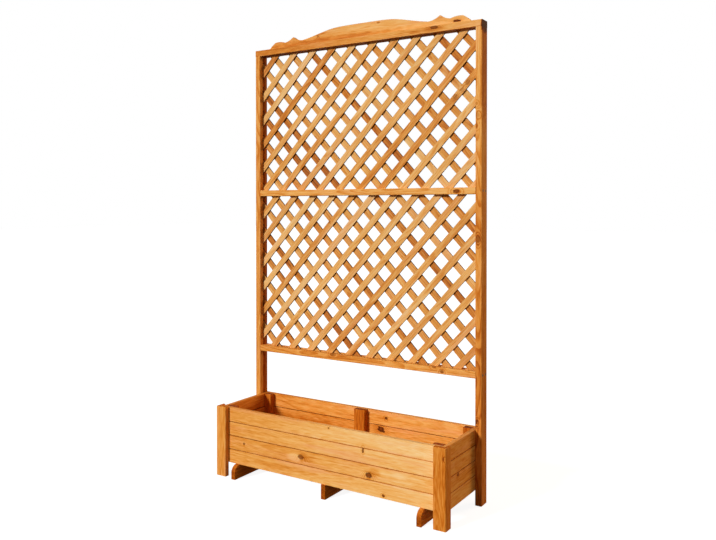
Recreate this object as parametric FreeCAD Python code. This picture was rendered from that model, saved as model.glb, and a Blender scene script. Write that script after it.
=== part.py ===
import FreeCAD, Part
import math
import os

# A timber planter that stands on the floor with a trellis back. A trough of tongue-and-groove
# boards stands on three feet and two front legs. Two tall uprights rise from its back corners
# and hold two lattice panels between grooved rails, under a shaped crown board.
# Millimetres, +Z up. The origin is on the floor, in the middle of the width and of the depth.

os.makedirs("parts", exist_ok=True)
Vector = FreeCAD.Vector
ACROSS = Vector(1, 0, 0)
BACK = Vector(0, 1, 0)
UP = Vector(0, 0, 1)

# ---------------------------------------------------------------- driving dimensions
overall_width = 1005.0          # over the outer faces of the uprights

# trellis frame: one planed section for the uprights and the rails
stock_thickness = 24.0          # an upright seen from the front, or the height of a rail
stock_depth = 46.0              # front to back
stock_arris = 1.5               # flat planed off each long arris
lower_panel_height = 615.0      # open height between the lower and the middle rail
upper_panel_height = 553.5      # open height between the middle and the top rail
window_height = 177.5           # open height between the trough and the lower rail

# lattice and the groove that holds it
slat_width = 24.5
slat_thickness = 6.0
groove_depth = 8.0
groove_play = 0.25              # on each face of the two crossed layers
slat_end_play = 1.0             # between a slat's end and the groove's bottom
upper_smallest_corner = 6.0     # a corner piece shorter than this along the rail is left out
lower_smallest_corner = 60.0

# the layers as they lie: angle from upright in degrees, spacing along a rail, and the distance
# from the left upright to the first slat, half-way up the panel
upper_front_angle = 43.8
upper_front_spacing = 93.2
upper_front_start = 87.4
upper_back_angle = -43.0
upper_back_spacing = 93.15
upper_back_start = 27.5
lower_front_angle = 42.8
lower_front_spacing = 91.75
lower_front_start = 64.7
lower_back_angle = -44.0
lower_back_spacing = 96.0
lower_back_start = 64.7

# crown board
crown_thickness = 18.0
crown_setback = 52.5            # from the end of the top rail
crown_end_height = 6.0          # upright nick at each end
crown_shoulder_run = 30.0       # from the end to the top of the rounded shoulder
crown_shoulder_height = 29.5
crown_shoulder_bulge = 1.2      # how far the shoulder stands out of its straight chord
crown_notch_run = 80.0          # from the end to the notch
crown_notch_height = 25.0
crown_notch_bulge = 3.2
crown_peak_run = 121.0          # from the end to the pointed peak
crown_peak_height = 42.5
crown_peak_hollow = 3.0         # how far the line up to the peak sinks below its chord
crown_valley_run = 168.0        # from the end to the valley
crown_valley_height = 25.0
crown_valley_hollow = 4.0
crown_middle_height = 57.0
crown_ogee_power = 2.1          # higher holds the middle flat for longer
crown_ogee_steps = 4            # points on each half of the ogee

# trough boards: tongue up, groove down
board_thickness = 16.0
board_cover = 52.5              # from seam to seam
board_rows = 4
tongue_thickness = 5.0
tongue_height = 6.0
tongue_play = 0.2               # on each side of the tongue
tongue_end_play = 1.0           # over the tongue
seam_chamfer = 1.5              # makes the small V at each seam
trough_depth = 281.0            # over the front and the back boards

# front corner legs: one moulded L section
leg_width = 47.0
leg_depth = 40.0
leg_front_thickness = 18.0
leg_side_thickness = 10.0
leg_rise = 4.5                  # above the top board
leg_arris = 4.0
leg_top_arris = 2.0

# corner and centre battens inside the trough
batten_depth = 23.0
rear_batten_width = 33.0
front_batten_width = 40.0
centre_batten_width = 47.0

# floor boards and feet
floor_thickness = 16.0
floor_boards = 4
floor_gap = 4.0                 # drainage gap beside each floor board
floor_end_play = 2.0
foot_height = 52.5
foot_thickness = 18.0
foot_inset = 97.5               # from the side of the trellis to an outer foot
foot_overhang = 9.0             # of the outer feet, in front of the legs
middle_foot_overhang = 4.0      # in front of the front boards
middle_foot_shift = 3.0         # the middle foot stands this far right of the centre

# countersunk screws
screw_head = 9.0
screw_head_height = 3.0
screw_shank = 4.0
screw_play = 0.1                # round the shank and past its end
rail_screw_length = 60.0
top_screw_length = 60.0
crown_screw_length = 42.0
rail_screw_edge = 11.5          # from the front and from the back of the frame
crown_screw_x = 200.0           # from the centre

# ---------------------------------------------------------------- places worked out from them
overall_depth = trough_depth + leg_front_thickness + foot_overhang
left = -overall_width / 2
right = overall_width / 2
back = overall_depth / 2
front = -overall_depth / 2
opening_left = left + stock_thickness
opening_right = right - stock_thickness
opening_width = opening_right - opening_left
frame_front = back - stock_depth
frame_middle = back - stock_depth / 2

boards_front = back - trough_depth
front_inside = boards_front + board_thickness
back_inside = back - board_thickness
left_inside = opening_left + board_thickness
right_inside = opening_right - board_thickness
leg_front = boards_front - leg_front_thickness
floor_top = foot_height + floor_thickness
trough_top = foot_height + board_rows * board_cover

lower_rail_bottom = trough_top + window_height
lower_panel_bottom = lower_rail_bottom + stock_thickness
lower_panel_top = lower_panel_bottom + lower_panel_height
upper_panel_bottom = lower_panel_top + stock_thickness
upper_panel_top = upper_panel_bottom + upper_panel_height
frame_top = upper_panel_top + stock_thickness

groove_width = 2 * slat_thickness + 2 * groove_play
slat_reach = groove_depth - slat_end_play

pieces = {}


# ---------------------------------------------------------------- shared ways of making a piece
def bar(x0, x1, y0, y1, z0, z1):
    """A square-edged length of timber between six planes."""
    return Part.makeBox(x1 - x0, y1 - y0, z1 - z0, Vector(x0, y0, z0))


def outer_arrises(solid, axis):
    """The edges along one axis (0, 1 or 2) that lie on the corners of the solid's own box."""
    box = solid.BoundBox
    low = (box.XMin, box.YMin, box.ZMin)
    high = (box.XMax, box.YMax, box.ZMax)
    others = [i for i in range(3) if i != axis]
    picked = []
    for edge in solid.Edges:
        start = edge.Vertexes[0].Point
        end = edge.Vertexes[-1].Point
        runs_along = all(abs(start[i] - end[i]) < 1e-6 for i in others)
        on_corner = all(min(abs(start[i] - low[i]), abs(start[i] - high[i])) < 1e-6 for i in others)
        if runs_along and on_corner:
            picked.append(edge)
    return picked


def polygon(points):
    """A closed flat face through the given points."""
    return Part.Face(Part.makePolygon(points + points[:1]))


def bulged(start, end, bulge):
    """An arc from start to end, in the upright plane, that stands out of its chord by bulge."""
    chord = end - start
    middle = (start + end) / 2 + chord.cross(BACK).normalize() * bulge
    return Part.Arc(start, middle, end).toShape()


# ---------------------------------------------------------------- grooved trellis frame
def groove_cutter(x0, x1, z0, z1):
    """The run of the lattice groove through a frame piece."""
    return bar(x0, x1, frame_middle - groove_width / 2, frame_middle + groove_width / 2, z0, z1)


def upright(outer, inner):
    """An upright, grooved over its whole height in the face towards the lattice."""
    solid = bar(min(outer, inner), max(outer, inner), frame_front, back, 0, upper_panel_top)
    solid = solid.makeChamfer(stock_arris, outer_arrises(solid, 2))
    bottom = inner + math.copysign(groove_depth, outer - inner)
    return solid.cut(groove_cutter(min(inner, bottom), max(inner, bottom), 0, upper_panel_top))


def cross_rail(z, grooved_below):
    """A rail between the uprights, with a stub tongue in their grooves at each end."""
    tongue = groove_width / 2 - groove_play
    solid = bar(opening_left, opening_right, frame_front, back, z, z + stock_thickness)
    solid = solid.makeChamfer(stock_arris, outer_arrises(solid, 0))
    x0 = opening_left - slat_reach
    x1 = opening_right + slat_reach
    tongue_bar = bar(x0, x1, frame_middle - tongue, frame_middle + tongue, z, z + stock_thickness)
    solid = solid.fuse(tongue_bar).removeSplitter()
    rail_top = z + stock_thickness
    solid = solid.cut(groove_cutter(x0, x1, rail_top - groove_depth, rail_top))
    if grooved_below:
        solid = solid.cut(groove_cutter(x0, x1, z, z + groove_depth))
    return solid


def top_rail():
    """The rail over the ends of the uprights. Its groove stops in line with theirs."""
    solid = bar(left, right, frame_front, back, upper_panel_top, frame_top)
    solid = solid.makeChamfer(stock_arris, outer_arrises(solid, 0))
    x0 = opening_left - groove_depth
    x1 = opening_right + groove_depth
    return solid.cut(groove_cutter(x0, x1, upper_panel_top, upper_panel_top + groove_depth))


pieces["left_upright"] = upright(left, opening_left)
pieces["right_upright"] = upright(right, opening_right)
pieces["lower_rail"] = cross_rail(lower_rail_bottom, False)
pieces["middle_rail"] = cross_rail(lower_panel_top, True)
pieces["top_rail"] = top_rail()


# ---------------------------------------------------------------- crossed lattice panels
def lattice_layer(panel_bottom, panel_top, angle, spacing, start, smallest, front_face):
    """One layer of parallel slats, cut off square to the frame inside its grooves."""
    slope = math.tan(math.radians(angle))
    face = slat_width / math.cos(math.radians(angle))
    middle_height = (panel_bottom + panel_top) / 2
    back_face = front_face + slat_thickness
    low = panel_bottom - slat_reach
    high = panel_top + slat_reach
    field = bar(opening_left - slat_reach, opening_right + slat_reach, front_face, back_face, low, high)
    reach = abs(slope) * (panel_top - panel_bottom) / 2 + face / 2 - smallest
    first = math.ceil((-reach - start) / spacing)
    last = math.floor((opening_width + reach - start) / spacing)
    slats = []
    for number in range(first, last + 1):
        centre = opening_left + start + number * spacing
        at_low = centre + slope * (low - middle_height)
        at_high = centre + slope * (high - middle_height)
        outline = [
            Vector(at_low - face / 2, front_face, low),
            Vector(at_low + face / 2, front_face, low),
            Vector(at_high + face / 2, front_face, high),
            Vector(at_high - face / 2, front_face, high),
        ]
        slats.append(polygon(outline).extrude(BACK * slat_thickness).common(field))
    return Part.makeCompound([solid for slat in slats for solid in slat.Solids])


front_layer = frame_middle - slat_thickness
back_layer = frame_middle
pieces["upper_lattice_front"] = lattice_layer(
    upper_panel_bottom, upper_panel_top, upper_front_angle, upper_front_spacing, upper_front_start,
    upper_smallest_corner, front_layer)
pieces["upper_lattice_back"] = lattice_layer(
    upper_panel_bottom, upper_panel_top, upper_back_angle, upper_back_spacing, upper_back_start,
    upper_smallest_corner, back_layer)
pieces["lower_lattice_front"] = lattice_layer(
    lower_panel_bottom, lower_panel_top, lower_front_angle, lower_front_spacing, lower_front_start,
    lower_smallest_corner, front_layer)
pieces["lower_lattice_back"] = lattice_layer(
    lower_panel_bottom, lower_panel_top, lower_back_angle, lower_back_spacing, lower_back_start,
    lower_smallest_corner, back_layer)


# ---------------------------------------------------------------- shaped crown board
def crown_point(run, height, side):
    """A point of the crown's outline, a run in from one end (side -1 left, 1 right)."""
    return Vector(side * (right - crown_setback - run), back - crown_thickness, frame_top + height)


def crown_end(side):
    """The moulded end of the crown: nick, round shoulder, notch, pointed peak and valley."""
    foot = crown_point(0, 0, side)
    nick = crown_point(0, crown_end_height, side)
    shoulder = crown_point(crown_shoulder_run, crown_shoulder_height, side)
    notch = crown_point(crown_notch_run, crown_notch_height, side)
    peak = crown_point(crown_peak_run, crown_peak_height, side)
    valley = crown_point(crown_valley_run, crown_valley_height, side)
    return [
        Part.LineSegment(foot, nick).toShape(),
        bulged(nick, shoulder, -side * crown_shoulder_bulge),
        bulged(shoulder, notch, -side * crown_notch_bulge),
        bulged(notch, peak, side * crown_peak_hollow),
        bulged(peak, valley, side * crown_valley_hollow),
    ]


def crown_ogee():
    """The long S curves that rise from both valleys to the flat middle."""
    half = right - crown_setback - crown_valley_run
    rise = crown_middle_height - crown_valley_height
    points = []
    for step in range(-crown_ogee_steps, crown_ogee_steps + 1):
        u = step / crown_ogee_steps
        swell = (1 + math.cos(math.pi * abs(u) ** crown_ogee_power)) / 2
        height = frame_top + crown_valley_height + rise * swell
        points.append(Vector(u * half, back - crown_thickness, height))
    curve = Part.BSplineCurve()
    curve.interpolate(points)
    return curve.toShape()


def crown_board():
    """The board on edge over the top rail, flush with its back."""
    sole = Part.LineSegment(crown_point(0, 0, -1), crown_point(0, 0, 1)).toShape()
    outline = [sole] + crown_end(-1) + [crown_ogee()] + crown_end(1)
    wire = Part.Wire(Part.sortEdges(outline)[0])
    return Part.Face(wire).extrude(BACK * crown_thickness)


pieces["crown_board"] = crown_board()


# ---------------------------------------------------------------- tongue-and-groove boards
def board_outline(row):
    """The end of a board, thickness along Y about y = 0 and its lower face on z = 0."""
    half = board_thickness / 2
    tongue = tongue_thickness / 2
    slot = tongue + tongue_play
    slot_top = tongue_height + tongue_end_play
    points = [(-half, 0), (half, 0)]
    if row > 0:
        points = [
            (-half, seam_chamfer), (seam_chamfer - half, 0), (-slot, 0), (-slot, slot_top),
            (slot, slot_top), (slot, 0), (half - seam_chamfer, 0), (half, seam_chamfer),
        ]
    if row == board_rows - 1:
        points += [(half, board_cover), (-half, board_cover)]
    else:
        tongue_top = board_cover + tongue_height
        chamfer_foot = board_cover - seam_chamfer
        points += [
            (half, chamfer_foot), (half - seam_chamfer, board_cover), (tongue, board_cover),
            (tongue, tongue_top), (-tongue, tongue_top), (-tongue, board_cover),
            (seam_chamfer - half, board_cover), (-half, chamfer_foot),
        ]
    return [Vector(0, y, z) for y, z in points]


def wall_boards(name, start, length, turned):
    """A stack of boards from a start point, along X, or along Y when turned."""
    for row in range(board_rows):
        board = polygon(board_outline(row)).extrude(ACROSS * length)
        if turned:
            board.rotate(Vector(0, 0, 0), UP, 90)
        board.translate(start + UP * (foot_height + row * board_cover))
        pieces[f"{name}_{row + 1}"] = board


half_board = board_thickness / 2
end_length = back_inside - front_inside
wall_boards("front_board", Vector(opening_left, boards_front + half_board, 0), opening_width, False)
wall_boards("back_board", Vector(opening_left, back - half_board, 0), opening_width, False)
wall_boards("left_end_board", Vector(opening_left + half_board, front_inside, 0), end_length, True)
wall_boards("right_end_board", Vector(opening_right - half_board, front_inside, 0), end_length, True)


# ---------------------------------------------------------------- legs and battens
def front_leg(side):
    """A moulded corner leg that covers the ends of the front boards (side -1 left, 1 right)."""
    inner = side * (opening_right + leg_side_thickness - leg_width)
    corner = side * opening_right
    outer = side * (opening_right + leg_side_thickness)
    top = trough_top + leg_rise
    flange_back = leg_front + leg_depth
    outline = [
        Vector(inner, leg_front, 0), Vector(outer, leg_front, 0), Vector(outer, flange_back, 0),
        Vector(corner, flange_back, 0), Vector(corner, boards_front, 0), Vector(inner, boards_front, 0),
    ]
    solid = polygon(outline).extrude(UP * top)
    solid = solid.makeFillet(leg_arris, outer_arrises(solid, 2))
    rim = []
    for edge in solid.Edges:
        on_top = all(abs(vertex.Z - top) < 1e-6 for vertex in edge.Vertexes)
        on_front = all(vertex.Y < boards_front - leg_top_arris for vertex in edge.Vertexes)
        on_side = all(abs(vertex.X) > opening_right + leg_top_arris for vertex in edge.Vertexes)
        if on_top and (on_front or on_side):
            rim.append(edge)
    return solid.makeFillet(leg_top_arris, rim)


pieces["left_front_leg"] = front_leg(-1)
pieces["right_front_leg"] = front_leg(1)

front_batten_back = front_inside + batten_depth
rear_batten_front = back_inside - batten_depth
half_centre = centre_batten_width / 2
pieces["left_front_batten"] = bar(
    left_inside, left_inside + front_batten_width, front_inside, front_batten_back, floor_top, trough_top)
pieces["right_front_batten"] = bar(
    right_inside - front_batten_width, right_inside, front_inside, front_batten_back, floor_top, trough_top)
pieces["left_rear_batten"] = bar(
    left_inside, left_inside + rear_batten_width, rear_batten_front, back_inside, floor_top, trough_top)
pieces["right_rear_batten"] = bar(
    right_inside - rear_batten_width, right_inside, rear_batten_front, back_inside, floor_top, trough_top)
pieces["centre_batten"] = bar(
    -half_centre, half_centre, rear_batten_front, back_inside, floor_top, trough_top)

# ---------------------------------------------------------------- floor boards and feet
floor_depth = back_inside - front_inside
floor_board_width = (floor_depth - (floor_boards + 1) * floor_gap) / floor_boards
for number in range(floor_boards):
    y0 = front_inside + floor_gap + number * (floor_board_width + floor_gap)
    y1 = y0 + floor_board_width
    x0 = left_inside + floor_end_play
    x1 = right_inside - floor_end_play
    pieces[f"floor_board_{number + 1}"] = bar(x0, x1, y0, y1, foot_height, floor_top)


def outer_foot(x0):
    """A bearer from front to back whose nose is rounded over in front of the boards."""
    nose = boards_front - front
    arc_end = Vector(x0, front + nose, foot_height)
    arc_start = Vector(x0, front, foot_height - nose)
    turn = nose * math.sqrt(0.5)
    arc_middle = Vector(x0, front + nose - turn, foot_height - nose + turn)
    outline = [
        Part.LineSegment(Vector(x0, front, 0), arc_start).toShape(),
        Part.Arc(arc_start, arc_middle, arc_end).toShape(),
        Part.LineSegment(arc_end, Vector(x0, back, foot_height)).toShape(),
        Part.LineSegment(Vector(x0, back, foot_height), Vector(x0, back, 0)).toShape(),
        Part.LineSegment(Vector(x0, back, 0), Vector(x0, front, 0)).toShape(),
    ]
    return Part.Face(Part.Wire(outline)).extrude(ACROSS * foot_thickness)


left_foot_x = left + foot_inset
right_foot_x = right - foot_inset - foot_thickness
middle_foot_x = middle_foot_shift - foot_thickness / 2
pieces["left_foot"] = outer_foot(left_foot_x)
pieces["right_foot"] = outer_foot(right_foot_x)
pieces["middle_foot"] = bar(
    middle_foot_x, middle_foot_x + foot_thickness, boards_front - middle_foot_overhang, back, 0, foot_height)


# ---------------------------------------------------------------- screws and their holes
def screw(length):
    """A countersunk screw along -Z, its flat head in the plane z = 0."""
    outline = [
        Vector(0, 0, 0), Vector(screw_head / 2, 0, 0), Vector(screw_shank / 2, 0, -screw_head_height),
        Vector(screw_shank / 2, 0, -length), Vector(0, 0, -length),
    ]
    return polygon(outline).revolve(Vector(0, 0, 0), UP, 360)


def screw_hole(length):
    """The countersink and the hole that a screw of this length is driven into."""
    radius = screw_shank / 2 + screw_play
    depth = length + screw_play
    sink = Part.makeCone(screw_shank / 2, screw_head / 2, screw_head_height, Vector(0, 0, -screw_head_height))
    return sink.fuse(Part.makeCylinder(radius, depth, Vector(0, 0, -depth)))


def drive(length, places, direction, through):
    """Screws from each place along direction, with their holes cut in the pieces they join."""
    turn = FreeCAD.Rotation(Vector(0, 0, -1), direction)
    screws = []
    for place in places:
        driven = screw(length)
        driven.Placement = FreeCAD.Placement(place, turn)
        screws.append(driven)
        hole = screw_hole(length)
        hole.Placement = driven.Placement
        for piece in through:
            if pieces[piece].BoundBox.intersect(hole.BoundBox):
                pieces[piece] = pieces[piece].cut(hole)
    return screws


frame_screw_rows = (frame_front + rail_screw_edge, back - rail_screw_edge)
rail_heights = (lower_rail_bottom + stock_thickness / 2, lower_panel_top + stock_thickness / 2)
left_rail_places = [Vector(left, y, z) for z in rail_heights for y in frame_screw_rows]
right_rail_places = [Vector(right, y, z) for z in rail_heights for y in frame_screw_rows]
cross_rails = ["lower_rail", "middle_rail"]
rail_screws = drive(rail_screw_length, left_rail_places, ACROSS, ["left_upright"] + cross_rails)
rail_screws += drive(rail_screw_length, right_rail_places, -ACROSS, ["right_upright"] + cross_rails)
pieces["rail_screws"] = Part.makeCompound(rail_screws)

solid_part = stock_thickness - groove_depth
top_screw_xs = (left + solid_part / 2, right - solid_part / 2)
top_places = [Vector(x, frame_middle, frame_top) for x in top_screw_xs]
top_pieces = ["top_rail", "left_upright", "right_upright"]
pieces["top_rail_screws"] = Part.makeCompound(drive(top_screw_length, top_places, -UP, top_pieces))

crown_screw_y = back - crown_thickness / 2
crown_places = [Vector(x, crown_screw_y, upper_panel_top) for x in (-crown_screw_x, crown_screw_x)]
crown_pieces = ["top_rail", "crown_board"]
pieces["crown_screws"] = Part.makeCompound(drive(crown_screw_length, crown_places, UP, crown_pieces))


# ---------------------------------------------------------------- one file for each node
for name, shape in pieces.items():
    shape.exportStep(f"parts/{name}.step")
print(len(pieces), "nodes,", sum(len(shape.Solids) for shape in pieces.values()), "solids")
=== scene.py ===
import math
import random

import bmesh
import bpy
from mathutils import Matrix, Quaternion, Vector


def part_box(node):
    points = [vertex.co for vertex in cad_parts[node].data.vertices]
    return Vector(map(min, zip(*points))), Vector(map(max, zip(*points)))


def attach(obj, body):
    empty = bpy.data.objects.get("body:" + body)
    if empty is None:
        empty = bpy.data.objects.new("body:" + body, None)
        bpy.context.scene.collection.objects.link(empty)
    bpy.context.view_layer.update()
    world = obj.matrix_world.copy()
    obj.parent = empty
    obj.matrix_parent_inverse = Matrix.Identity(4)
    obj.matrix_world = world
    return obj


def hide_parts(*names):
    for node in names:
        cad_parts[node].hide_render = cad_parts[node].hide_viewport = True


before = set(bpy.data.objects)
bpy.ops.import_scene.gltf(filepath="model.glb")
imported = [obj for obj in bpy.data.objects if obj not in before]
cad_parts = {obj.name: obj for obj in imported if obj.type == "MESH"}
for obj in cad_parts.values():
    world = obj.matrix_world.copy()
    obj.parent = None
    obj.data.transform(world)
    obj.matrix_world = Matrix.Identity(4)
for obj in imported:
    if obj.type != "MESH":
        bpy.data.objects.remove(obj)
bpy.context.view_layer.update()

# ---- Camera: about a metre above the ground, in front of the planter and beyond its right-hand
# end, tipped down by half a degree, with the photograph's framing.
camera_data = bpy.data.cameras.new("camera")
camera_data.sensor_width = 36.0
camera_data.lens = 37.788
camera_data.shift_y = -0.0783
camera = bpy.data.objects.new("camera", camera_data)
camera.location = (1.5211, -2.3045, 1.0334)
camera.rotation_euler = (math.radians(90 - 0.504), 0, math.radians(32.246))
bpy.context.scene.collection.objects.link(camera)
bpy.context.scene.camera = camera
bpy.context.scene.view_settings.view_transform = "Standard"


# ---- Light: a strong lamp in front, somewhat to the left and 22 degrees up, a weaker and warmer
# one low at the back right, and an even warm surround.
def sun(name, towards_lamp, strength, softness, colour):
    data = bpy.data.lights.new(name, "SUN")
    data.energy = strength
    data.angle = math.radians(softness)
    data.color = colour
    lamp = bpy.data.objects.new(name, data)
    lamp.rotation_euler = Vector(towards_lamp).to_track_quat("Z", "Y").to_euler()
    bpy.context.scene.collection.objects.link(lamp)


sun("front_lamp", (-0.336, -0.862, 0.379), 2.75, 9, (1.0, 0.99, 0.97))
sun("back_lamp", (0.50, 0.82, 0.28), 1.5, 25, (1.0, 0.63, 0.30))


def shader_node(tree, kind, settings=None, **inputs):
    """A node of a shader tree. Its inputs are named, or numbered as i0, i1 and so on."""
    node = tree.nodes.new("ShaderNode" + kind)
    for key, value in (settings or {}).items():
        setattr(node, key, value)
    for key, value in inputs.items():
        numbered = key[0] == "i" and key[1:].isdigit()
        socket = node.inputs[int(key[1:]) if numbered else key.replace("_", " ")]
        if isinstance(value, bpy.types.NodeSocket):
            tree.links.new(value, socket)
        else:
            socket.default_value = value
    return node


def maths(tree, operation, first, second=0.0):
    return shader_node(tree, "Math", {"operation": operation}, i0=first, i1=second).outputs[0]


def seen_directly(tree):
    """1 for the camera's own rays and for those of mirrors and glass, 0 for lighting."""
    ray = shader_node(tree, "LightPath")
    seen = maths(tree, "MAXIMUM", ray.outputs["Is Camera Ray"], ray.outputs["Is Glossy Ray"])
    return maths(tree, "MAXIMUM", seen, ray.outputs["Is Transmission Ray"])


world = bpy.data.worlds.new("surround")
bpy.context.scene.world = world
world.use_nodes = True
sky = world.node_tree
sky.nodes.clear()
lit = shader_node(sky, "Background", Color=(1.0, 0.80, 0.56, 1), Strength=0.25)
white = shader_node(sky, "Background", Color=(1, 1, 1, 1), Strength=1.0)
mixed = shader_node(sky, "MixShader", Fac=seen_directly(sky), i1=lit.outputs[0], i2=white.outputs[0])
shader_node(sky, "OutputWorld", Surface=mixed.outputs[0])


# ---- Floor: a plain flat floor of matt paint, level with the feet. It is seen as nearly white,
# with a faint shadow, but throws light back on the planter as a darker floor would.
def finished(name, mesh, shape, material):
    """A new object of a worked shape, in one material."""
    shape.to_mesh(mesh)
    shape.free()
    mesh.materials.append(material)
    piece = bpy.data.objects.new(name, mesh)
    bpy.context.scene.collection.objects.link(piece)
    return piece


floor_reach = 30.0
floor_paint = bpy.data.materials.new("pale_floor")
floor_paint.use_nodes = True
paint = floor_paint.node_tree
paint.nodes.clear()
matt = shader_node(paint, "BsdfDiffuse", Color=(0.20, 0.19, 0.18, 1))
pale = shader_node(paint, "BsdfDiffuse", Color=(0.33, 0.38, 0.45, 1))
glow = shader_node(paint, "Emission", Color=(1, 1, 1, 1), Strength=0.90)
seen_floor = shader_node(paint, "AddShader", i0=pale.outputs[0], i1=glow.outputs[0])
whole = shader_node(paint, "MixShader", Fac=seen_directly(paint),
                    i1=matt.outputs[0], i2=seen_floor.outputs[0])
shader_node(paint, "OutputMaterial", Surface=whole.outputs[0])
ground = bmesh.new()
bmesh.ops.create_grid(ground, x_segments=1, y_segments=1, size=floor_reach)
floor = finished("floor", bpy.data.meshes.new("floor"), ground, floor_paint)


# ---- Uprights: two planed sticks of stained pine, grooved for the lattice. They stand on the
# ground at the trough's rear corners, and two of the rails are screwed in between them.
MM = 0.001
merge_distance = 0.001 * MM
facet_angle = math.radians(0.5)
arris_angle = math.radians(28)


def merged_copy(node):
    """A CAD piece's mesh and a shape to rework, its doubles merged and its flat faces whole."""
    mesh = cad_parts[node].data.copy()
    mesh.name = node
    mesh.materials.clear()
    shape = bmesh.new()
    shape.from_mesh(mesh)
    bmesh.ops.remove_doubles(shape, verts=shape.verts, dist=merge_distance)
    bmesh.ops.dissolve_limit(shape, angle_limit=facet_angle, verts=shape.verts, edges=shape.edges)
    return mesh, shape


def separate_solids(shape):
    """The faces of each separate solid of a bmesh, in a settled order."""
    left_over = set(shape.faces)
    groups = []
    for first in shape.faces:
        if first not in left_over:
            continue
        group = []
        waiting = [first]
        left_over.discard(first)
        while waiting:
            face = waiting.pop()
            group.append(face)
            for beside in (other for edge in face.edges for other in edge.link_faces):
                if beside in left_over:
                    left_over.discard(beside)
                    waiting.append(beside)
        groups.append(group)
    return groups


def dress(node, along, wood, rounding=1.2, tone=(0.0, 0.0), spread=0.0, edges=0.0, under=0.0,
          seams=0.0):
    """A finer copy of a CAD piece: its arrises rounded, and the run of its grain written on it.

    along is the grain's direction and wood the material. tone is how deep the stain is at the
    start and at the end of the grain, and spread how much it differs from stick to stick. edges,
    under and seams darken the sides, the undersides and the seams' chamfers: the sides partly with
    stain taken up by sawn wood and partly with painted shade, the undersides with painted shade,
    and the seams with stain pooled in the V and painted shade of the gap.
    """
    mesh, shape = merged_copy(node)
    sharp = [edge for edge in shape.edges
             if len(edge.link_faces) == 2 and edge.calc_face_angle() > arris_angle]
    bmesh.ops.bevel(shape, geom=sharp, offset=rounding * MM, offset_type="OFFSET", segments=2,
                    profile=0.5, affect="EDGES", material=-1, clamp_overlap=True)
    shape.normal_update()
    grain = shape.verts.layers.float_vector.new("grain")
    stain = shape.verts.layers.float.new("stain")
    end_grain = shape.faces.layers.float.new("end_grain")
    stain_and_shade = shape.faces.layers.float.new("stain_and_shade")
    chance = random.Random(node)
    along = Vector(along).normalized()
    through = Vector((0, 1, 0)) if abs(along.y) < 0.5 else Vector((1, 0, 0))
    across = through.cross(along)
    for group in separate_solids(shape):
        verts = list(dict.fromkeys(vert for face in group for vert in face.verts))
        centre = sum((vert.co for vert in verts), Vector()) / len(verts)
        reach = max((vert.co - centre).dot(along) for vert in verts)
        heart_across = chance.uniform(-30, 30) * MM
        heart_through = chance.uniform(30, 90) * MM * chance.choice((-1, 1))
        heart = Vector((0, heart_across, heart_through))
        start = chance.uniform(0, 40)
        own_tone = spread * chance.uniform(-1, 1)
        for vert in verts:
            offset = vert.co - centre
            run = offset.dot(along)
            vert[grain] = Vector((run + start, offset.dot(across), offset.dot(through))) + heart
            vert[stain] = own_tone + tone[0] + (tone[1] - tone[0]) * (run / reach + 1) / 2
        for face in group:
            face.smooth = True
            face[end_grain] = abs(face.normal.dot(along)) ** 6
            # a seam's chamfer slants by about 45 degrees
            outwards = abs(face.normal.dot(through))
            in_seam = 0.55 < outwards < 0.85 and abs(face.normal.dot(across)) > 0.5
            # the darkening of sides and undersides below is painted shade, with extra stain on sawn
            # sides, and that of the seams is pooled stain and painted shade
            sideways = min(1.0, 2.5 - 2.5 * outwards)
            beneath = max(0.0, -face.normal.z - 0.3)
            face[stain_and_shade] = seams if in_seam else edges * sideways + under * beneath
    piece = finished(node + "_wood", mesh, shape, wood)
    weights = piece.modifiers.new("even_shading", "WEIGHTED_NORMAL")
    weights.keep_sharp = True
    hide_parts(node)
    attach(piece, "root")


def vector_maths(tree, operation, first, second):
    node = shader_node(tree, "VectorMath", {"operation": operation}, i0=first, i1=second)
    return node.outputs["Value" if operation == "LENGTH" else "Vector"]


def eased(tree, value, low, high):
    """0 below low and 1 above high, or the other way round where low is the higher."""
    node = shader_node(tree, "MapRange", {"interpolation_type": "SMOOTHSTEP"},
                       i0=value, i1=low, i2=high, i3=0.0, i4=1.0)
    return node.outputs[0]


def noise(tree, vector, per_metre, detail=3.0, roughness=0.5):
    """Noise with the given number of features in a metre, along, across and through the wood."""
    stretched = vector_maths(tree, "MULTIPLY", vector, per_metre)
    return shader_node(tree, "TexNoise", Vector=stretched, Scale=1.0, Detail=detail, Roughness=roughness)


def blended(tree, factor, first, second):
    node = shader_node(tree, "Mix", {"data_type": "RGBA"}, i0=factor, i6=first, i7=second)
    return node.outputs[2]


def total(tree, weighted):
    """The sum of (value, weight, middle) terms, each value counted from its middle."""
    terms = [shader_node(tree, "Math", {"operation": "MULTIPLY_ADD"}, i0=value, i1=weight,
                         i2=-weight * middle).outputs[0] for value, weight, middle in weighted]
    so_far = terms[0]
    for term in terms[1:]:
        so_far = maths(tree, "ADD", so_far, term)
    return so_far


def colour_ramp(tree, value, stops):
    """A ramp through (position, colour) stops, the first of them at 0 and the last at 1."""
    node = shader_node(tree, "ValToRGB", Fac=value)
    elements = node.color_ramp.elements
    elements[0].color = stops[0][1]
    elements[-1].color = stops[-1][1]
    for position, colour in stops[1:-1]:
        elements.new(position).color = colour
    return node.outputs["Color"]


def as_seen(red, green, blue):
    """A colour as seen, from 0 to 255, as the linear values that a material takes."""
    return tuple(((c / 255 + 0.055) / 1.055) ** 2.4 if c > 10 else c / 255 / 12.92
                 for c in (red, green, blue)) + (1,)


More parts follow.
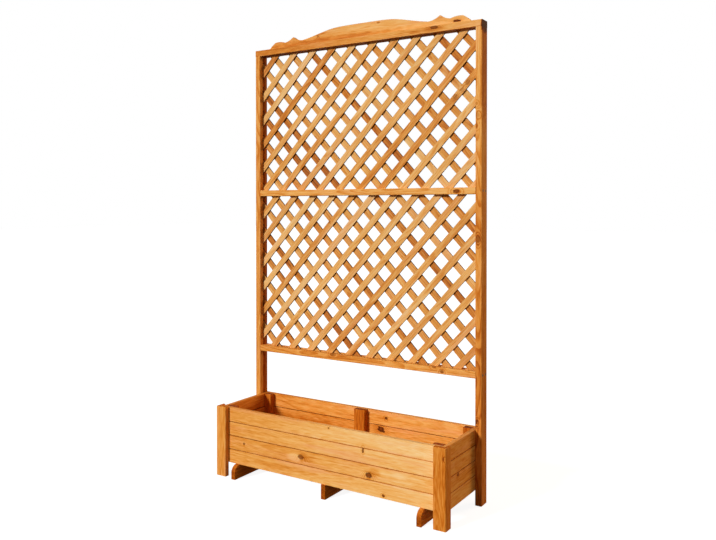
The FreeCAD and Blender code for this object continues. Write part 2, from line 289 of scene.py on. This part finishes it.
# the stain, from the palest wood to the darkest sawn edges; the last steps also colour painted shade
stain_steps = (
    (-1.0, as_seen(252, 220, 170)),
    (-0.5, as_seen(249, 205, 140)),
    (0.0, as_seen(244, 184, 104)),
    (0.5, as_seen(231, 154, 66)),
    (1.0, as_seen(206, 117, 32)),
    (1.5, as_seen(166, 78, 12)),
    (2.0, as_seen(104, 44, 8)),
    (2.5, as_seen(58, 22, 5)),
)

# how dark a growth ring is, from its early wood to its late wood
ring_steps = ((0.0, 0.0), (0.45, 0.18), (0.80, 0.9), (0.92, 1.0), (1.0, 0.1))


def from_centre(tree, place, centre, size):
    """How far a point is from a centre, where 1 is the edge of an oval of the given half sizes."""
    away = vector_maths(tree, "SUBTRACT", place, tuple(c * MM for c in centre))
    scaled = vector_maths(tree, "MULTIPLY", away, tuple(1 / (s * MM) for s in size))
    return vector_maths(tree, "LENGTH", scaled, (0, 0, 0))


def stained_pine(name, knots=(), patches=(), rings=0.3, streaks=0.7, blotches=0.9, dulled=0.0,
                 ring_width=3.2):
    """Stained pine: growth rings round the heart, streaks, fibres, blotchy stain and knots.

    A knot is (centre, half sizes, darkness) and a patch (centre, half sizes, change of stain or
    painted shade), both in millimetres from the middle of the floor under the planter. dulled is
    how much of the stain has faded to a greyer brown, and ring_width is in millimetres.
    """
    wood = bpy.data.materials.new(name)
    wood.use_nodes = True
    tree = wood.node_tree
    tree.nodes.clear()
    grain = shader_node(tree, "Attribute", {"attribute_name": "grain"}).outputs["Vector"]
    stain = shader_node(tree, "Attribute", {"attribute_name": "stain"}).outputs["Fac"]
    end_grain = shader_node(tree, "Attribute", {"attribute_name": "end_grain"}).outputs["Fac"]
    # painted shade on sides, undersides and seams, with the extra stain of sawn edges and seams
    stain_and_shade = shader_node(tree, "Attribute", {"attribute_name": "stain_and_shade"}).outputs["Fac"]
    place = shader_node(tree, "TexCoord").outputs["Object"]
    speck = noise(tree, place, (240.0, 240.0, 240.0), 2.0).outputs["Fac"]
    cloud = noise(tree, place, (28.0, 60.0, 60.0), 2.0).outputs["Fac"]

    drift = noise(tree, grain, (1.6, 9.0, 9.0), 2.0).outputs["Color"]
    drift = vector_maths(tree, "SUBTRACT", drift, (0.5, 0.5, 0.5))
    drift = vector_maths(tree, "MULTIPLY", drift, (0, 0.05, 0.05))
    wandering = vector_maths(tree, "ADD", grain, drift)
    off_heart = vector_maths(tree, "MULTIPLY", wandering, (0, 1, 1))
    radius = vector_maths(tree, "LENGTH", off_heart, (0, 0, 0))

    depth_terms = [(stain, 1.0, 0.0), (end_grain, 0.45, 0.0), (stain_and_shade, 1.0, 0.0)]
    hearts = rims = swirls = 0.0
    for centre, size, darkness in knots:
        away = from_centre(tree, place, centre, size)
        ragged = total(tree, ((away, 1.0, 0.0), (speck, 0.9, 0.5), (cloud, 0.6, 0.5)))
        heart = maths(tree, "MULTIPLY", eased(tree, ragged, 1.15, 0.85), darkness)
        rim = maths(tree, "MULTIPLY", heart, eased(tree, ragged, 0.2, 1.0))
        swirl = eased(tree, away, 3.2, 0.8)
        radius = maths(tree, "ADD", radius, maths(tree, "MULTIPLY", swirl, min(size) * MM))
        hearts = maths(tree, "MAXIMUM", hearts, heart)
        rims = maths(tree, "MAXIMUM", rims, rim)
        swirls = maths(tree, "MAXIMUM", swirls, swirl)
    for centre, size, change in patches:
        away = from_centre(tree, place, centre, size)
        ragged = total(tree, ((away, 1.0, 0.0), (cloud, 1.1, 0.5)))
        depth_terms.append((eased(tree, ragged, 1.3, 0.5), change, 0.0))

    within = maths(tree, "FRACT", maths(tree, "MULTIPLY", radius, 1 / (ring_width * MM)))
    late_wood = colour_ramp(tree, within, [(at, (dark, dark, dark, 1)) for at, dark in ring_steps])
    streak = noise(tree, grain, (5.0, 130.0, 130.0), 4.0, 0.6).outputs["Fac"]
    fibre = noise(tree, grain, (30.0, 900.0, 900.0), 2.0, 0.6).outputs["Fac"]
    fleck = noise(tree, grain, (26.0, 210.0, 210.0), 2.0, 0.6).outputs["Fac"]
    blotch = noise(tree, grain, (3.0, 20.0, 20.0), 3.0, 0.55).outputs["Fac"]
    slow = noise(tree, grain, (0.8, 3.0, 3.0), 1.0).outputs["Fac"]
    depth_terms += [(late_wood, rings, 0.4), (streak, streaks, 0.5), (fibre, 0.45, 0.5),
                    (fleck, 1.3, 0.5), (blotch, blotches, 0.5), (slow, 0.6, 0.5)]
    if knots:
        swirling = maths(tree, "MULTIPLY", swirls, late_wood)
        depth_terms += [(swirling, 0.45, 0.0), (swirls, 0.2, 0.0)]
    depth = total(tree, depth_terms)

    lowest, highest = stain_steps[0][0], stain_steps[-1][0]
    spread_out = shader_node(tree, "MapRange", i0=depth, i1=lowest, i2=highest, i3=0.0, i4=1.0)
    stops = [((step - lowest) / (highest - lowest), colour) for step, colour in stain_steps]
    colour = colour_ramp(tree, spread_out.outputs[0], stops)
    pinker = eased(tree, noise(tree, grain, (4.0, 40.0, 40.0), 2.0).outputs["Fac"], 0.45, 0.75)
    pinker = maths(tree, "MULTIPLY", pinker, eased(tree, depth, 0.9, 0.2))
    colour = blended(tree, maths(tree, "MULTIPLY", pinker, 0.4), colour, as_seen(238, 160, 116))
    if dulled:
        faded = total(tree, ((blotch, 1.6, 0.5), (1.0, 1.0, 0.0)))
        faded = maths(tree, "MULTIPLY", faded, dulled)
        colour = blended(tree, faded, colour, as_seen(150, 118, 84))
    if knots:
        heartwood = blended(tree, rims, as_seen(128, 62, 20), as_seen(66, 26, 8))
        colour = blended(tree, hearts, colour, heartwood)

    relief = total(tree, ((late_wood, 0.5, 0.0), (fibre, 1.0, 0.0)))
    bump = shader_node(tree, "Bump", Strength=0.3, Distance=0.0005, Height=relief)
    gloss = total(tree, ((fibre, 0.2, 0.5), (blotch, 0.15, 0.5), (0.58, 1.0, 0.0)))
    surface = shader_node(tree, "BsdfPrincipled", Base_Color=colour, Roughness=gloss,
                          Normal=bump.outputs[0], Specular_IOR_Level=0.02)
    shader_node(tree, "OutputMaterial", Surface=surface.outputs[0])
    return wood


frame_pine = stained_pine(
    "frame_pine", rings=0.6, dulled=0.06,
    knots=(
        ((483, 108, 291), (5, 5, 7), 0.8),
        ((484, 108, 276), (3, 4, 3), 0.5),
        ((489, 108, 921), (6, 6, 12), 0.6),
        ((481, 108, 1392), (5, 6, 6), 0.25),
        ((486, 108, 1352), (6, 6, 10), 0.25),
        ((480, 108, 1316), (5, 6, 8), 0.3),
        ((407, 108, 1090), (12, 8, 6), 0.85),
        ((-118, 108, 461), (8, 8, 4), 0.6),
        ((352, 108, 450), (7, 8, 5), 0.7),
        ((320, 110, 463), (9, 9, 4), 0.6),
        ((319, 108, 1674), (16, 8, 6), 0.8),
    ),
    patches=(
        ((484, 108, 1350), (14, 20, 70), -0.35),
        ((488, 108, 1600), (14, 20, 120), -0.15),
        ((484, 108, 930), (14, 20, 40), 0.25),
        ((290, 108, 1670), (70, 30, 9), 0.35),
        # the next three patches are painted shade: on the right-hand end of the top rail, on the
        # right-hand side of the right upright's upper part, and on the rear lip of the left upright's
        # inner face, behind the lattice
        ((503, 131, 1668), (5, 60, 30), 1.3),
        ((503, 131, 1600), (5, 60, 260), 0.7),
        ((-479, 146, 1000), (4, 17, 3000), 0.7),
    ))
# the left upright's sides get a little painted shade and extra stain (edges)
dress("left_upright", (0, 0, 1), frame_pine, tone=(0.6, 0.45), edges=0.15)
dress("right_upright", (0, 0, 1), frame_pine, tone=(1.0, 0.2))

# ---- Rails: the same grooved sticks of pine, laid level. The middle and lower rails are screwed
# in between the uprights, and the top rail is screwed down over both of them.
# the rails' undersides are darkened with painted shade (under)
dress("lower_rail", (1, 0, 0), frame_pine, tone=(0.65, 0.3), under=1.2)
dress("middle_rail", (1, 0, 0), frame_pine, tone=(0.4, 0.25), under=1.2)
dress("top_rail", (1, 0, 0), frame_pine, tone=(0.75, 0.2), under=1.4)

# ---- Lattice: thin pine slats crossed in two layers, let into the grooves and stapled where
# they cross. They are cut from many boards, so their tones differ, and their sawn edges are dark,
# partly with stain and partly with painted shade.
slat_pine = stained_pine(
    "slat_pine", rings=0.5, streaks=1.5, blotches=1.5, dulled=0.2,
    knots=(
        ((442, 125, 1471), (9, 8, 9), 0.4),
        ((420, 125, 1447), (7, 8, 7), 0.3),
        ((395, 125, 1424), (9, 8, 9), 0.4),
        ((-358, 125, 1051), (5, 6, 5), 0.9),
        ((-146, 125, 976), (5, 6, 5), 0.7),
    ),
    patches=(((420, 125, 1447), (40, 12, 40), -0.5),))
slat_layers = {
    "upper_lattice_front": (43.8, (0.25, 0.05)),
    "upper_lattice_back": (-43.0, (0.45, 0.4)),
    "lower_lattice_front": (42.8, (0.45, 0.3)),
    "lower_lattice_back": (-44.0, (0.5, 0.5)),
}
for node, (angle, tone) in slat_layers.items():
    lean = math.radians(angle)
    dress(node, (math.sin(lean), 0, math.cos(lean)), slat_pine, rounding=0.5, tone=tone, spread=0.6,
          edges=2.2)

# ---- Crown board: one pine board on edge, sawn to its curves and rounded. It stands on the top
# rail, and is screwed from below.
crown_pine = stained_pine(
    "crown_pine", rings=0.4, dulled=0.12,
    knots=(
        ((394, 136, 1694), (12, 8, 4), 1.0),
        ((406, 136, 1693), (5, 8, 3), 1.0),
        ((72, 136, 1729), (6, 8, 3), 0.4),
        ((-206, 136, 1711), (5, 8, 4), 0.5),
    ),
    patches=(
        ((-120, 136, 1690), (330, 30, 14), 0.6),
        ((60, 136, 1722), (250, 30, 14), -0.2),
    ))
# the crown's sides get a little painted shade and extra stain (edges)
dress("crown_board", (1, 0, 0), crown_pine, rounding=1.0, tone=(0.5, -0.05), edges=0.3)

# ---- Trough walls: tongue-and-groove pine boards, four high on each side, with a small V at
# each seam, darkened by pooled stain and by painted shade of the gap.
board_pine = stained_pine(
    "board_pine", rings=0.26, streaks=1.0, blotches=0.9,
    knots=(
        ((-364, -127, 135), (5, 8, 4), 0.8),
        ((-96, -127, 132), (13, 10, 8), 0.75),
        ((167, -127, 201), (4, 8, 8), 0.85),
        ((190, -127, 121), (12, 10, 9), 0.9),
        ((248, -127, 63), (5, 6, 5), 0.9),
        ((25, -127, 256), (3, 6, 3), 0.7),
        ((479, -32, 150), (10, 7, 6), 0.8),
    ),
    patches=(
        ((-364, -127, 135), (14, 20, 9), -0.4),
        ((-130, -127, 126), (34, 20, 16), -0.6),
        ((-70, -127, 132), (34, 20, 14), 0.35),
        ((215, -127, 135), (22, 20, 16), 0.45),
        ((300, -127, 140), (90, 20, 10), -0.45),
        ((330, -127, 122), (60, 20, 5), -0.4),
        ((-200, -127, 80), (170, 20, 12), 0.25),
        ((167, -127, 215), (30, 20, 10), 0.2),
    ))
board_rows = range(1, 5)
# each front board pales towards its right-hand end: painted sheen of the floor's reflection, over the
# board's own tone
front_tones_and_sheen = ((0.35, -0.25), (0.5, 0.0), (0.4, -0.35), (0.4, -0.4))
for row, tone in zip(board_rows, front_tones_and_sheen):
    dress(f"front_board_{row}", (1, 0, 0), board_pine, rounding=0.3, tone=tone, seams=1.35)
back_pine = stained_pine(
    "back_pine", rings=0.28, streaks=0.9,
    knots=(
        ((106, 138, 240), (6, 10, 5), 0.95),
        ((83, 138, 195), (14, 10, 9), 1.0),
        ((75, 138, 202), (5, 8, 4), 1.0),
        ((95, 138, 188), (5, 8, 4), 1.0),
    ),
    patches=(
        ((82, 138, 243), (26, 20, 9), 0.35),
        ((-260, 138, 180), (160, 20, 12), 0.25),
    ))
back_tones = ((0.6, 0.4), (0.6, 0.4), (0.6, 0.35), (0.65, 0.15))
for row, tone in zip(board_rows, back_tones):
    dress(f"back_board_{row}", (1, 0, 0), back_pine, rounding=0.3, tone=tone, seams=1.35)
for row in board_rows:
    dress(f"left_end_board_{row}", (0, 1, 0), board_pine, rounding=0.3, tone=(0.7, 0.85), seams=1.2)
    dress(f"right_end_board_{row}", (0, 1, 0), board_pine, rounding=0.3, tone=(0.35, 0.6), seams=1.2)

# ---- Front legs: one moulded corner piece of pine each, over the ends of the front boards and
# of the end boards, from the ground to a little above the trough.
leg_pine = stained_pine("leg_pine", rings=0.28, knots=(((479, -145, 232), (3, 6, 5), 0.6),))
dress("left_front_leg", (0, 0, 1), leg_pine, rounding=0.6, tone=(0.4, 0.4))
dress("right_front_leg", (0, 0, 1), leg_pine, rounding=0.6, tone=(0.7, 0.65))

# ---- Battens: darker sticks of pine inside the trough. They stand on the floor boards and tie
# the walls together.
batten_pine = stained_pine("batten_pine", rings=0.36, streaks=0.9)
front_battens = ("left_front_batten", "right_front_batten")
rear_battens = ("left_rear_batten", "right_rear_batten", "centre_batten")
for node in front_battens + rear_battens:
    dress(node, (0, 0, 1), batten_pine, rounding=0.8, tone=(1.25, 1.2))

# ---- Floor boards: four sawn pine boards, laid along the trough over the feet, with gaps for
# the water.
floor_boards = [f"floor_board_{number}" for number in range(1, 5)]
for node in floor_boards:
    dress(node, (1, 0, 0), batten_pine, rounding=0.8, tone=(0.9, 0.9), spread=0.2)

# ---- Feet: three pine bearers on edge under the whole depth, stained darker. The outer two are
# rounded over at the front, and the floor boards are screwed down on all three.
foot_pine = stained_pine("foot_pine", rings=0.36, streaks=0.9)
feet = ("left_foot", "middle_foot", "right_foot")
for node in feet:
    dress(node, (0, 1, 0), foot_pine, rounding=0.8, tone=(1.0, 1.2))

# ---- Screws: countersunk, of dulled plated steel. They hold the rails between the uprights, the
# top rail on the uprights and the crown board on the top rail.
screw_steel = bpy.data.materials.new("screw_steel")
screw_steel.use_nodes = True
steel = screw_steel.node_tree
steel.nodes.clear()
on_screw = shader_node(steel, "TexCoord").outputs["Object"]
tarnish = noise(steel, on_screw, (900.0, 900.0, 900.0), 2.0)
metal = shader_node(
    steel, "BsdfPrincipled", Metallic=1.0,
    Base_Color=blended(steel, tarnish.outputs["Fac"],
                       (0.12, 0.085, 0.04, 1), (0.035, 0.024, 0.013, 1)),
    Roughness=total(steel, ((tarnish.outputs["Fac"], 0.3, 0.0), (0.4, 1.0, 0.0))))
shader_node(steel, "OutputMaterial", Surface=metal.outputs[0])


def cut_recess(shape, flat, turn):
    """A cross-shaped driver recess, cut into the flat face of a screw's head.

    arm, half_width and depth are parts of the head's radius, and taper is how far the floor of
    the recess is drawn in.
    """
    arm = 0.6
    half_width = 0.15
    depth = 0.4
    taper = 0.3
    same_plane = 1e-8
    facing = flat.normal.copy()
    centre = flat.calc_center_median()
    radius = max((vert.co - centre).length for vert in flat.verts)
    one_way = Quaternion(facing, turn) @ facing.orthogonal().normalized()
    other_way = facing.cross(one_way)
    faces = [flat]
    for direction in (one_way, other_way):
        for offset in (-arm, -half_width, half_width, arm):
            rim = dict.fromkeys(item for face in faces for item in (*face.verts, *face.edges))
            cut = bmesh.ops.bisect_plane(shape, geom=[*rim, *faces], dist=same_plane,
                                         plane_no=direction,
                                         plane_co=centre + direction * offset * radius)
            faces = [item for item in cut["geom"] if isinstance(item, bmesh.types.BMFace)]
    cross = []
    for face in faces:
        away = (face.calc_center_median() - centre) / radius
        reach = sorted((abs(away.dot(one_way)), abs(away.dot(other_way))))
        if reach[0] < half_width and reach[1] < arm:
            cross.append(face)
    sunk = bmesh.ops.extrude_face_region(shape, geom=cross)
    bmesh.ops.delete(shape, geom=cross, context="FACES")
    for item in sunk["geom"]:
        if isinstance(item, bmesh.types.BMVert):
            item.co += (centre - item.co) * taper - facing * radius * depth


# each screw ends at a turn of its own
turns = random.Random(12)
screw_facings = {
    "rail_screws": (1, 0, 0),
    "top_rail_screws": (0, 0, 1),
    "crown_screws": (0, 0, -1),
}
for node, facing in screw_facings.items():
    mesh, shape = merged_copy(node)
    heads = []
    for group in separate_solids(shape):
        middle = sum((face.calc_center_median() for face in group), Vector()) / len(group)
        outwards = Vector(facing) * (-1 if node == "rail_screws" and middle.x < 0 else 1)
        heads.append(max(group, key=lambda face: face.calc_center_median().dot(outwards)))
    for head in heads:
        cut_recess(shape, head, turns.uniform(0, math.pi))
    piece = finished(node + "_recessed", mesh, shape, screw_steel)
    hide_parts(node)
    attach(piece, "root")

# ---- Trough screws: of the same steel, driven from inside through the front battens into the
# front boards, and down through the floor boards into the feet. Only their heads are made.
head_radius = 4.0 * MM
neck_radius = 2.4 * MM
head_depth = 2.4 * MM
head_stands_out = 0.3 * MM
lowest_above_floor = 15 * MM
widest_turn = 3.0
trough_screws = bmesh.new()
driven = []
for batten in front_battens:
    low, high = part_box(batten)
    for row in board_rows:
        board_low, board_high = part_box(f"front_board_{row}")
        height = max((board_low[2] + board_high[2]) / 2, low[2] + lowest_above_floor)
        driven.append((Vector(((low[0] + high[0]) / 2, high[1], height)), Vector((0, 1, 0))))
for board in floor_boards:
    board_low, board_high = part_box(board)
    for foot in feet:
        low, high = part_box(foot)
        over_foot = (low[0] + high[0]) / 2
        on_board = (board_low[1] + board_high[1]) / 2
        driven.append((Vector((over_foot, on_board, board_high[2])), Vector((0, 0, 1))))
for place, facing in driven:
    turned = facing.to_track_quat("Z", "Y").to_matrix().to_4x4()
    at = Matrix.Translation(place + facing * (head_stands_out - head_depth / 2)) @ turned
    made = bmesh.ops.create_cone(trough_screws, cap_ends=True, segments=16, depth=head_depth,
                                 radius1=neck_radius, radius2=head_radius, matrix=at)
    caps = {face for vert in made["verts"] for face in vert.link_faces if len(face.verts) > 4}
    top = max(caps, key=lambda face: face.normal.dot(facing))
    cut_recess(trough_screws, top, turns.uniform(0, widest_turn))
piece = finished("trough_screws", bpy.data.meshes.new("trough_screws"), trough_screws, screw_steel)
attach(piece, "root")

# ---- Staples: of the same steel, driven from behind where two slats cross, clear of their ends.
# They hold the lattice's two layers together. Only the wire across each staple's back is made.
wire_length = 10 * MM
wire_thickness = 0.6 * MM
wire_width = 1.2 * MM
wire_rounding = 0.2 * MM
wire_stands_out = 0.45 * MM
clear_of_ends = 20 * MM
staple_leans = (70, 110)
staples = bmesh.new()
for panel in ("upper", "lower"):
    layers = []
    for node in (panel + "_lattice_front", panel + "_lattice_back"):
        lean = math.radians(slat_layers[node][0])
        along = Vector((math.sin(lean), 0, math.cos(lean)))
        across = Vector((math.cos(lean), 0, -math.sin(lean)))
        shape = bmesh.new()
        shape.from_mesh(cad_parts[node].data)
        bmesh.ops.remove_doubles(shape, verts=shape.verts, dist=merge_distance)
        slats = []
        for group in separate_solids(shape):
            corners = [vert.co for face in group for vert in face.verts]
            sides = [corner.dot(across) for corner in corners]
            ends = [corner.dot(along) for corner in corners]
            middle = (min(sides) + max(sides)) / 2
            slats.append((middle, min(ends) + clear_of_ends, max(ends) - clear_of_ends))
        layers.append((along, across, slats, max(vert.co.y for vert in shape.verts)))
        shape.free()
    (along, across, slats, _), (other_along, other_across, other_slats, back) = layers
    for side, start, end in slats:
        for other_side, other_start, other_end in other_slats:
            slide = (other_side - side * across.dot(other_across)) / along.dot(other_across)
            crossing = across * side + along * slide
            if start < slide < end and other_start < crossing.dot(other_along) < other_end:
                crossing.y = back + wire_stands_out - wire_thickness / 2
                turned = Matrix.Rotation(math.radians(turns.uniform(*staple_leans)), 4, "Y")
                wire = Matrix.Diagonal((wire_length, wire_thickness, wire_width, 1))
                at = Matrix.Translation(crossing) @ turned @ wire
                made = bmesh.ops.create_cube(staples, matrix=at)
                rims = dict.fromkeys(edge for vert in made["verts"] for edge in vert.link_edges)
                bmesh.ops.bevel(staples, geom=list(rims), offset=wire_rounding, segments=1,
                                profile=0.5, affect="EDGES", material=-1)
piece = finished("lattice_staples", bpy.data.meshes.new("lattice_staples"), staples, screw_steel)
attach(piece, "root")
